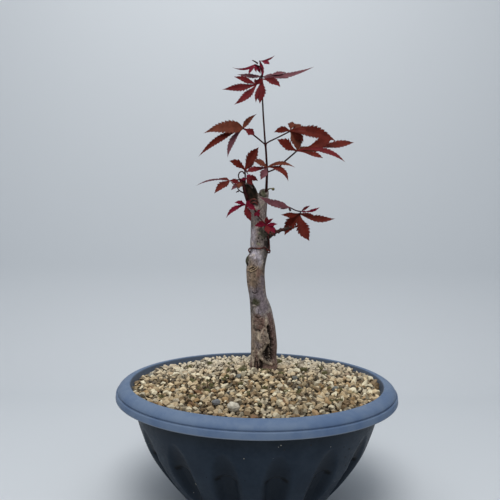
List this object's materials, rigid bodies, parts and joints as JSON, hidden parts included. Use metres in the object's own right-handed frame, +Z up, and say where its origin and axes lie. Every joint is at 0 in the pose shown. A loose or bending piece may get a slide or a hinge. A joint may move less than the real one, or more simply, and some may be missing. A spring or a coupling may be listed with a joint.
{
  "type": "japanese maple bonsai in a round pot",
  "caption": "Young japanese maple bonsai with a bare tapering trunk and a few red palmate leaves, in a round fluted plastic pot filled with gravel.",
  "frame": {"origin": "middle of the pot's flat underside, on the surface that the pot stands on", "axes": "+Z up the plant, -Y towards the front that the picture shows, +X to the right in the picture"},
  "size_m": [0.332, 0.332, 0.555],
  "materials": {
    "pot_plastic": "satin moulded slate blue plastic with light scuffs and dust",
    "gravel": "loose angular gravel of cream, ochre, grey and tan grains",
    "bark": "smooth grey brown bark with pale ridges and scars",
    "young_bark": "thin dark red brown shoot bark",
    "wire": "dark copper coloured training wire",
    "foliage": "thin leaves, crimson when young and red brown when grown"
  },
  "bodies": {
    "root": {"pot": "pot_plastic", "gravel_bed": "gravel", "trunk": "bark", "left_bough": "bark", "low_right_bough": "bark", "leader": "young_bark", "bud_twig": "young_bark", "trunk_wire": "wire", "crown_leaves": "foliage", "upper_left_leaf": "foliage", "upper_right_leaf": "foliage", "mid_right_leaf": "foliage", "inner_leaf": "foliage", "left_leaves": "foliage", "small_left_leaf": "foliage", "front_leaf": "foliage", "back_leaf": "foliage", "low_right_leaves": "foliage"}
  },
  "joints": []
}
